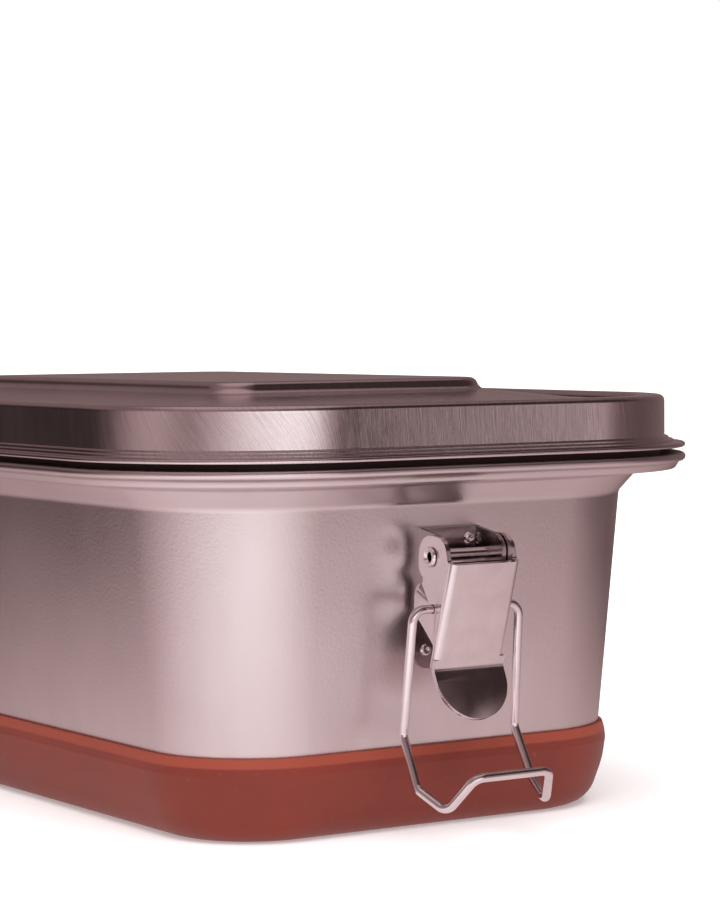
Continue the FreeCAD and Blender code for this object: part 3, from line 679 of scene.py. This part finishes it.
# Outer face from the middle of the panel to the skirt and its steps, the curled edge, and the under
# face back to the middle.
def makeLid():
    s = lidShape
    sheet = s["sheet"]
    curlCentre = (plan["lidReach"] - s["curl"], lidFoot + s["curl"])
    foot = lidFoot + s["skirtFoot"]
    crest = foot + s["skirtHeight"]
    field = crest - s["fieldDrop"]
    panelFoot = field + s["crown"]
    panelTop = panelFoot + s["panelRise"]
    dish = panelTop - s["dishDepth"]
    lean = s["panelRise"] * math.tan(math.radians(s["panelLean"]))
    troughUp = crest - s["troughDepth"]
    troughOut = -s["ridgeWidth"] - s["troughLean"]
    troughIn = troughOut - s["troughWidth"]
    fieldStart = troughIn - s["troughLean"]
    middle = -(halfWidth - s["middle"] + s["panelEnd"] - s["panelSide"])
    shoulder = -s["panelEnd"] - lean
    firstOut, secondOut = s["stepOut"]
    firstFoot = foot - s["stepHeight"]
    secondFoot = foot - 2 * s["stepHeight"]
    edgeTop = curlCentre[1] + s["curl"]
    top = [
        (middle, dish, 0.0),
        (shoulder - s["dishInset"] - s["dishSlope"], dish, s["dishRound"]),
        (shoulder - s["dishInset"], panelTop, s["dishRimRound"]),
        (shoulder, panelTop, s["panelRound"]),
        (-s["panelEnd"], panelFoot, s["panelFootRound"]),
        (-s["fieldInset"], field, s["fieldRound"]),
        (fieldStart, field, s["ridgeRadius"]),
        (troughIn, troughUp, s["troughRound"]),
        (troughOut, troughUp, s["troughRound"]),
        (-s["ridgeWidth"], crest, s["ridgeRadius"]),
        (0.0, crest, s["ridgeRadius"]),
        (0.0, foot + s["footLift"], s["footRound"]),
        (firstOut, foot + s["stepFall"][0], s["stepRound"]),
        (firstOut + s["stepLean"], firstFoot, s["stepRound"]),
        (secondOut, firstFoot - s["stepFall"][1], s["stepRound"]),
        (secondOut + s["stepLean"], secondFoot - s["stepFall"][1], s["stepRound"]),
        (curlCentre[0] - s["edgeBack"][0], edgeTop - s["edgeSink"], s["edgeRound"][0]),
        (curlCentre[0] - s["edgeBack"][1], edgeTop, s["edgeRound"][1]),
    ]
    start = roundedPath(top, near=0.08)[:-1]
    curl = arcPoints(curlCentre, s["curl"], *s["curlTurn"], s["curlSteps"])
    innerStep = sheet * s["innerShare"]
    under = [
        (curlCentre[0] - s["curl"] - s["curlInside"][0], curlCentre[1] - s["curlInside"][1], 0.0),
        (-sheet + s["hem"][0], foot - s["hem"][1], s["hemRound"]),
        (-sheet, crest - sheet, s["innerRound"]),
        (-s["ridgeWidth"] + innerStep, crest - sheet, s["innerRound"]),
        (troughOut + innerStep, troughUp - sheet, s["innerTroughRound"]),
        (troughIn - innerStep, troughUp - sheet, s["innerTroughRound"]),
        (fieldStart - sheet, field - sheet, s["innerRound"]),
        (-s["fieldInset"], field - sheet, s["fieldRound"]),
        (-s["panelEnd"] - sheet, panelFoot - sheet, s["innerPanelRound"]),
        (shoulder - sheet, dish - sheet, s["innerPanelRound"]),
        (middle, dish - sheet, 0.0),
    ]
    section = np.vstack([start, curl, roundedPath(under, near=0.08)])
    cornerShare = 2 * np.abs(stations[:, 2] * stations[:, 3])   # 1 in the middle of a corner, 0 on a side
    slant = s["brushLean"] + s["brushLeanCorner"] * cornerShare
    return ringSurface("lidShell", lidRings(section), slant=slant)


finishPiece(makeLid(), lidMaterial, "lid", "lid_steel", "lid_shell")
print("lid made")


sealShape = {
    "side": 0.05,           # between the seal and the lid's steel
    "gap": 0.25,            # between the seal's foot and the flange
    "inset": 7.6,           # inner edge of the foot
    "stemSlack": 0.1,
    "arch": 0.3,            # the stem's underside is raised in its middle
    "heelAt": 4.4,          # the foot is level with the flange this far in
    "toeAt": 5.4,
    "toeRise": 0.7,
    "shoulder": 0.35,
    "heelRound": 0.4,
    "stemRound": 0.5,
    "shoulderRound": 0.3,
    "footRound": 0.6,
    "toeRound": 0.5,
}


# Height of the seal's underside over the sloping flange.
def sealFoot(out):
    slope = boxShape["flangeFall"] / (flangeOuter[0] - flangeInner[0])
    return flangeInner[1] + (out - flangeInner[0]) * slope + boxShape["sheet"] + sealShape["gap"]


# Closed ring: a stem inside the ridge and a foot that follows the flange below it.
def makeSeal():
    lid = lidShape
    s = sealShape
    crest = lidFoot + lid["skirtFoot"] + lid["skirtHeight"]
    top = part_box("lid_seal")[1].z / mm
    outer = -lid["sheet"] - s["side"]
    stemIn = -lid["ridgeWidth"] + lid["sheet"] + s["side"] + s["stemSlack"]
    troughOut = -lid["ridgeWidth"] - lid["troughLean"]
    under = crest - lid["troughDepth"] - lid["sheet"] - s["side"]
    footIn = -s["inset"]
    heel = sealFoot(-s["heelAt"])
    middle = ((outer + stemIn) / 2, sealFoot(outer) + s["arch"], 0.0)
    section = roundedPath([
        middle,
        (outer, sealFoot(outer), s["heelRound"]),
        (outer, top, s["stemRound"]),
        (stemIn, top, s["stemRound"]),
        (troughOut + lid["sheet"] + s["shoulder"], under, s["shoulderRound"]),
        (footIn, under, s["footRound"]),
        (footIn, heel + s["toeRise"], s["footRound"]),
        (-s["toeAt"], heel, s["toeRound"]),
        middle,
    ], near=0.08)[1:-1]
    section = np.vstack([section, section[:1]])
    rings = ringPoints(halfLength + section[:, 0], halfWidth + section[:, 0],
                       plan["corner"] + section[:, 0], section[:, 1])
    return ringSurface("lidSeal", rings, False, False)


finishPiece(makeSeal(), sealMaterial, "lid", "seal_silicone", "lid_seal")
print("seal made")


latchShape = {
    "standoff": 4.8,        # pivot to the plate's face
    "plateSheet": 0.9,
    "plateWidth": 12.0,
    "studSpread": 3.9,
    "studHigh": 2.0,
    "studLow": 16.6,
    "studHead": 1.15,
    "studRise": 0.55,
    "studShank": 0.7,
    "studShort": 0.02,      # the shank ends this far before the wall
    "studPole": 0.01,       # the ends are closed from this radius
    "studTaper": 0.72,      # the head's top as a share of its foot
    "studFootRound": 0.08,
    "studRound": 0.3,
    "dimpleWidth": 0.5,
    "dimpleFloor": 0.16,
    "dimpleLevel": 0.3,     # height of its floor as a share of the head's rise
    "dimpleRound": 0.12,
    "dimpleFloorRound": 0.1,
    "rivetBore": 0.8,
    "rivetOuter": 1.2,
    "rivetFlare": 1.8,
    "rivetLip": 0.6,
    "rivetMouth": 0.5,      # depth of the rounded mouth
    "rivetMouthRound": 0.35,
    "rivetCrestWidth": (0.15, 0.25),    # inside and outside of the lip's middle
    "rivetCrestFall": 0.08,
    "rivetCrestRound": (0.22, 0.25),
    "rivetRimRound": 0.16,
    "rivetNeck": (0.02, 0.1, 0.05),     # rim's lift, neck's width over the tube, round
    "cheekGap": 0.2,
    "leverSheet": 0.8,
    "play": 0.1,
    "edgeRound": 0.09,      # softened cut edges of the plate and the lever
    "edgeSteps": 3,
    "weld": 0.002,          # points closer than this are merged, mm
    "sharpFrom": 32,        # degrees between faces that stay sharp
    "softenFrom": 40,       # degrees between faces that are softened
}
pivots = {j["name"]: Vector(j["pos_m"]) for j in frame["joints"] if j["name"].endswith("_hinge")}


# Points drawn in the latch's frame, X out of the wall and Z up along it, put on one short side.
def onLatch(points, side):
    lean = math.radians(boxShape["taper"])
    out = points[..., 0] * math.cos(lean) + points[..., 2] * math.sin(lean)
    up = -points[..., 0] * math.sin(lean) + points[..., 2] * math.cos(lean)
    pivot = pivots[f"lever_{side}_hinge"] / mm
    sign = 1 if side == "right" else -1
    return np.stack([pivot.x + sign * out, sign * points[..., 1], pivot.z + up], -1)


# A clean copy of a packed sheet part with its cut edges softened.
def softenedCopy(name, node):
    s = latchShape
    mesh = frame["nodes"][node].data.copy()
    work = bmesh.new()
    work.from_mesh(mesh)
    bmesh.ops.remove_doubles(work, verts=work.verts, dist=s["weld"] * mm)
    work.to_mesh(mesh)
    work.free()
    mesh.name = name
    mesh.polygons.foreach_set("use_smooth", np.ones(len(mesh.polygons), bool))
    mesh.set_sharp_from_angle(angle=math.radians(s["sharpFrom"]))
    piece = bpy.data.objects.new(name, mesh)
    bpy.context.scene.collection.objects.link(piece)
    bevel = piece.modifiers.new("softEdges", "BEVEL")
    bevel.width = s["edgeRound"] * mm
    bevel.segments = s["edgeSteps"]
    bevel.limit_method = "ANGLE"
    bevel.angle_limit = math.radians(s["softenFrom"])
    bevel.use_clamp_overlap = True
    bevel.harden_normals = True
    return piece


# Section (along, radius) turned about an axis that points along X or Y.
def turned(section, centre, axis, count=40):
    a = np.linspace(0, 2 * math.pi, count, endpoint=False)
    along = np.broadcast_to(section[:, :1], (len(section), count))
    across, up = section[:, 1:] * np.cos(a), section[:, 1:] * np.sin(a)
    order = (along, across, up) if axis == "x" else (across, along, up)
    return np.stack(order, -1) + np.array(centre)


# Tube with both ends rolled outwards over the lever's cheeks.
def makeRivet(side):
    s = latchShape
    under = s["plateWidth"] / 2 + s["cheekGap"] + s["leverSheet"] + s["play"]
    end = under + s["rivetLip"]
    middle = (s["rivetBore"] + s["rivetFlare"]) / 2
    inward, outward = s["rivetCrestWidth"]
    lift, neck, neckRound = s["rivetNeck"]
    half = roundedPath([
        (0.0, s["rivetBore"], 0.0),
        (end - s["rivetMouth"], s["rivetBore"], s["rivetMouthRound"]),
        (end, middle - inward, s["rivetCrestRound"][0]),
        (end - s["rivetCrestFall"], middle + outward, s["rivetCrestRound"][1]),
        (under + lift, s["rivetFlare"], s["rivetRimRound"]),
        (under, s["rivetOuter"] + neck, neckRound),
        (0.0, s["rivetOuter"], 0.0),
    ], near=0.03, step=14)
    loop = np.vstack([half, (half * [-1, 1])[::-1][1:]])
    points = onLatch(turned(loop, (0, 0, 0), "y"), side)
    return ringSurface(f"pivotRivet_{side}", points, False, False)


# Four dimpled heads with short shanks, joined into one piece.
def makeStuds(side):
    s = latchShape
    face = -s["standoff"]
    back = face - s["plateSheet"] + s["studShort"]
    top = face + s["studRise"]
    dimple = face + s["studRise"] * s["dimpleLevel"]
    section = roundedPath([
        (back, s["studPole"], 0.0),
        (back, s["studShank"], leastRound),
        (face, s["studShank"], leastRound),
        (face, s["studHead"], s["studFootRound"]),
        (top, s["studHead"] * s["studTaper"], s["studRound"]),
        (top, s["dimpleWidth"], s["dimpleRound"]),
        (dimple, s["dimpleFloor"], s["dimpleFloorRound"]),
        (dimple, s["studPole"], 0.0),
    ], near=0.03, step=15)
    heads = []
    for spread in (-s["studSpread"], s["studSpread"]):
        for height in (s["studHigh"], -s["studLow"]):
            points = onLatch(turned(section, (0, spread, height), "x", 28), side)
            heads.append(ringSurface(f"stud_{side}", points))
    joined = bmesh.new()
    for head in heads:
        joined.from_mesh(head.data)
    joined.to_mesh(heads[0].data)
    joined.free()
    for head in heads[1:]:
        bpy.data.objects.remove(head)
    heads[0].name = f"plateStuds_{side}"
    return heads[0]


bailShape = {
    "radius": 0.76,
    "bend": 2.2,
    "tail": 1.4,
    # corners of one half of the wire: out of the wall, half spread, up from the pivot
    "eye": (1.0, 10.7, -8.55),
    "knee": (0.65, 11.3, -29.7),
    "shoulder": (5.8, 11.6, -37.4),
    "nose": (12.2, 10.0, -39.9),
    "bar": (16.1, 7.4, -33.7),
}


# Straight runs joined by arcs of one radius, in space, with a point close to both ends of each arc.
def wirePath(points, radius, steps=10, near=0.15):
    out = [points[:1]]
    for before, here, after in zip(points, points[1:], points[2:]):
        toBefore = (before - here) / np.linalg.norm(before - here)
        toAfter = (after - here) / np.linalg.norm(after - here)
        turn = math.pi - math.acos(np.clip(toBefore @ toAfter, -1, 1))
        reach = radius * math.tan(turn / 2)
        bisector = (toBefore + toAfter) / np.linalg.norm(toBefore + toAfter)
        centre = here + bisector * math.hypot(reach, radius)
        start, end = here + toBefore * reach - centre, here + toAfter * reach - centre
        t = np.linspace(0, 1, steps + 1)[:, None]
        arc = centre + (np.sin((1 - t) * turn) * start + np.sin(t * turn) * end) / math.sin(turn)
        out += [arc[:1] + toBefore * near, arc, arc[-1:] + toAfter * near]
    out.append(points[-1:])
    return np.vstack(out)


# Circle carried along the path: each ring's axes are the last ring's, turned with the path.
def tube(name, path, radius, side, count=22):
    tangents = np.gradient(path, axis=0)
    tangents /= np.linalg.norm(tangents, axis=1)[:, None]
    aside = (0.3, 0.1, 0.9)     # any direction that the wire doesn't start along
    first = np.cross(tangents[0], aside)
    axes = [first / np.linalg.norm(first)]
    for t in tangents[1:]:
        moved = axes[-1] - t * (axes[-1] @ t)
        axes.append(moved / np.linalg.norm(moved))
    u = np.array(axes)
    v = np.cross(tangents, u)
    a = np.linspace(0, 2 * math.pi, count, endpoint=False)
    ring = u[:, None] * np.cos(a)[None, :, None] + v[:, None] * np.sin(a)[None, :, None]
    rings = path[:, None] + radius * ring
    return ringSurface(name, onLatch(rings, side))


def makeBail(side):
    s = bailShape
    inside = latchShape["plateWidth"] / 2 + latchShape["cheekGap"] - s["tail"]
    half = np.array([(s["eye"][0], inside, s["eye"][2]), s["eye"], s["knee"], s["shoulder"],
                     s["nose"], s["bar"]])
    points = np.vstack([half, (half * [1, -1, 1])[::-1]])
    return tube(f"wireBail_{side}", wirePath(points, s["bend"]), s["radius"], side)


for side in ("right", "left"):
    plate = softenedCopy(f"latchPlate_{side}", f"latch_plate_{side}")
    finishPiece(plate, plateShadeMaterial, "box", "latch_steel", f"latch_plate_{side}")
    lever = softenedCopy(f"latchLever_{side}", f"lever_{side}")
    finishPiece(lever, latchMaterial, f"lever_{side}", "latch_steel", f"lever_{side}")
    finishPiece(makeStuds(side), latchMaterial, "box", "latch_steel", f"plate_studs_{side}")
    finishPiece(makeRivet(side), wireMaterial, "box", "polished_steel", f"pivot_rivet_{side}")
    finishPiece(makeBail(side), wireMaterial, f"bail_{side}", "polished_steel", f"bail_{side}")
    print("latch made:", side)


studio = {
    "floorSize": 12.0,      # metres
    "floorTone": (0.93, 0.92, 0.92, 1),
    "floorShade": (0.91, 0.905, 0.905, 1),
    "floorGlow": 0.32,      # keeps the shadow under the box faint
    "fill": 3.3,            # strength of the light from above that falls on the floor and the silicone
    "fillSpread": 70,       # degrees
    "fillTilt": (12, 17),   # degrees away from straight down
    "cast": (1.0, 0.61, 0.61),      # warm cast of the dim parts of the room
    "castLoss": 0.62,               # how fast a brighter part loses it
    # what the steel sees of the table: brightness by distance in metres from the lit spot
    "spot": (0.22, -0.16, 0.0),
    "spotReach": 1.2,
    "tableEnd": (0.45, 0.75),       # past this the steel sees the room instead
    "table": [(0.0, 1.40), (0.10, 1.24), (0.155, 1.04), (0.195, 0.88), (0.245, 0.70), (0.29, 0.60),
              (0.35, 0.46), (0.47, 0.20), (0.60, 0.10), (1.2, 0.08)],
    # brightness of the room by azimuth in degrees
    "horizon": [(-180, 0.10), (-158, 0.035), (-140, 0.035), (-124, 0.12), (-112, 0.34), (-92, 0.55),
                (-66, 0.30), (-50, 0.62), (-30, 1.15), (-8, 1.45), (8, 1.25), (20, 0.50), (27, 0.12),
                (35, 0.05), (38, 0.75), (43, 0.60), (50, 0.24), (62, 0.16), (80, 0.12), (150, 0.25),
                (180, 0.1)],
    "above": [(-180, 0.22), (-130, 0.2), (-90, 0.3), (-40, 0.3), (0, 0.2), (30, 0.05), (75, 0.04),
              (100, 0.15), (180, 0.22)],
    "zenith": [(-180, 0.5), (180, 0.5)],
    # sine of the elevation between which one gives way to the next
    "toAbove": (0.22, 0.45),
    "toZenith": (0.75, 0.92),
}


# Flat square. To mirrored rays it glows by distance from the lit spot, and lets them past further out;
# to all others it is plain and pale.
def makeFloor():
    count = 9
    x, y = np.meshgrid(np.linspace(-1, 1, count), np.linspace(-1, 1, count), indexing="ij")
    points = np.stack([x, y, 0 * x], -1).reshape(-1, 3) * studio["floorSize"] / 2 / mm
    i, j = np.meshgrid(np.arange(count - 1), np.arange(count - 1), indexing="ij")
    corner = (i * count + j).ravel()
    quads = np.stack([corner, corner + count, corner + count + 1, corner + 1], 1)
    floor = meshObject("floor", points, quads)
    look = Shader("pale_floor", **{"Roughness": 0.9, "Specular IOR Level": 0.1,
                                   "Emission Color": (1, 1, 1, 1),
                                   "Emission Strength": studio["floorGlow"]})
    cloud = look.noise(look.coords.outputs["Object"], 3.0, 2.0)
    look.set("Base Color", look.mix(look.spread(cloud, 0, 1), studio["floorTone"], studio["floorShade"]))
    centre = look.node("ShaderNodeVectorMath", {0: look.coords.outputs["Object"], 1: studio["spot"]},
                       operation="DISTANCE").outputs["Value"]
    share = look.spread(centre, 0.0, 1.0, 0.0, studio["spotReach"])
    glow = look.node("ShaderNodeEmission")
    tones = ramp(look.tree, share, [(d / studio["spotReach"], v) for d, v in studio["table"]])
    look.tree.links.new(tones, glow.inputs["Color"])
    past = look.spread(centre, 0.0, 1.0, *studio["tableEnd"])
    mirrored = look.node("ShaderNodeMixShader", {0: past, 1: glow.outputs[0],
                                                 2: look.node("ShaderNodeBsdfTransparent").outputs[0]})
    path = look.node("ShaderNodeLightPath")
    both = look.node("ShaderNodeMixShader", {0: path.outputs["Is Glossy Ray"], 1: look.shader.outputs[0],
                                             2: mirrored.outputs[0]})
    output = look.tree.nodes["Material Output"]
    look.tree.links.new(both.outputs[0], output.inputs["Surface"])
    floor.data.materials.append(look.material)


# Grey stops from (share, brightness); a dim stop has the room's cast, a bright one loses it.
def ramp(tree, factor, stops):
    made = tree.nodes.new("ShaderNodeValToRGB")
    tree.links.new(factor, made.inputs["Fac"])
    elements = made.color_ramp.elements
    while len(elements) > 1:
        elements.remove(elements[-1])
    for k, (at, value) in enumerate(stops):
        element = elements[0] if k == 0 else elements.new(at)
        element.position = at
        plain = min(value * studio["castLoss"], 1.0)
        element.color = [value * (c + (1 - c) * plain) for c in studio["cast"]] + [1]
    return made.outputs["Color"]


def byAzimuth(stops):
    return [((angle + 180) / 360, value) for angle, value in stops]


# The room: brightness by azimuth at the horizon, above it and overhead, mixed by elevation. The
# camera sees plain white instead.
def makeRoom():
    world = bpy.data.worlds.new("room")
    bpy.context.scene.world = world
    world.use_nodes = True
    tree = world.node_tree
    nodes, links = tree.nodes, tree.links
    background = nodes["Background"]
    coords = nodes.new("ShaderNodeTexCoord")
    split = nodes.new("ShaderNodeSeparateXYZ")
    links.new(coords.outputs["Generated"], split.inputs["Vector"])
    azimuth = nodes.new("ShaderNodeMath")
    azimuth.operation = "ARCTAN2"
    links.new(split.outputs["Y"], azimuth.inputs[0])
    links.new(split.outputs["X"], azimuth.inputs[1])
    share = nodes.new("ShaderNodeMapRange")
    share.inputs["From Min"].default_value = -math.pi
    share.inputs["From Max"].default_value = math.pi
    links.new(azimuth.outputs[0], share.inputs["Value"])
    horizon, above, zenith = [ramp(tree, share.outputs["Result"], byAzimuth(studio[k]))
                              for k in ("horizon", "above", "zenith")]
    mixed = horizon
    for tone, (low, high) in ((above, studio["toAbove"]), (zenith, studio["toZenith"])):
        lift = nodes.new("ShaderNodeMapRange")
        lift.interpolation_type = "SMOOTHSTEP"
        lift.inputs["From Min"].default_value = low
        lift.inputs["From Max"].default_value = high
        links.new(split.outputs["Z"], lift.inputs["Value"])
        blend = nodes.new("ShaderNodeMix")
        blend.data_type = "RGBA"
        links.new(lift.outputs["Result"], blend.inputs[0])
        links.new(mixed, blend.inputs[6])
        links.new(tone, blend.inputs[7])
        mixed = blend.outputs[2]
    seen = nodes.new("ShaderNodeLightPath")
    white = nodes.new("ShaderNodeMix")
    white.data_type = "RGBA"
    links.new(seen.outputs["Is Camera Ray"], white.inputs[0])
    links.new(mixed, white.inputs[6])
    white.inputs[7].default_value = (1, 1, 1, 1)
    links.new(white.outputs[2], background.inputs["Color"])


# Soft light from nearly above that the steel doesn't mirror.
def makeFill():
    light = bpy.data.lights.new("fill", "SUN")
    light.energy = studio["fill"]
    light.angle = math.radians(studio["fillSpread"])
    item = bpy.data.objects.new("fill", light)
    item.rotation_euler = (*np.radians(studio["fillTilt"]), 0)
    item.visible_glossy = False
    bpy.context.scene.collection.objects.link(item)


lens = {
    "place": (0.4760, -0.2803, 0.0862),     # metres
    "azimuth": 56.71,       # degrees
    "elevation": 2.59,
    "roll": -0.39,
    "length": 117.4,        # mm
    "sensor": 36.0,
    "clip": (0.01, 50),
    "shift": (-0.0077, 0.0021),
}


def makeCamera():
    az, el, roll = (math.radians(lens[k]) for k in ("azimuth", "elevation", "roll"))
    back = Vector((math.sin(az) * math.cos(el), -math.cos(az) * math.cos(el), math.sin(el)))
    right = Vector((math.cos(az), math.sin(az), 0))
    up = back.cross(right)
    turnedRight = right * math.cos(roll) + up * math.sin(roll)
    turnedUp = up * math.cos(roll) - right * math.sin(roll)
    camera = bpy.data.cameras.new("camera")
    camera.sensor_width = lens["sensor"]
    camera.lens = lens["length"]
    camera.shift_x, camera.shift_y = lens["shift"]
    camera.clip_start, camera.clip_end = lens["clip"]
    item = bpy.data.objects.new("camera", camera)
    item.matrix_world = Matrix((
        (turnedRight.x, turnedUp.x, back.x, lens["place"][0]),
        (turnedRight.y, turnedUp.y, back.y, lens["place"][1]),
        (turnedRight.z, turnedUp.z, back.z, lens["place"][2]),
        (0, 0, 0, 1)))
    bpy.context.scene.collection.objects.link(item)
    bpy.context.scene.camera = item


makeFloor()
makeRoom()
makeFill()
makeCamera()
bpy.context.scene.view_settings.view_transform = "Standard"
print("studio made")
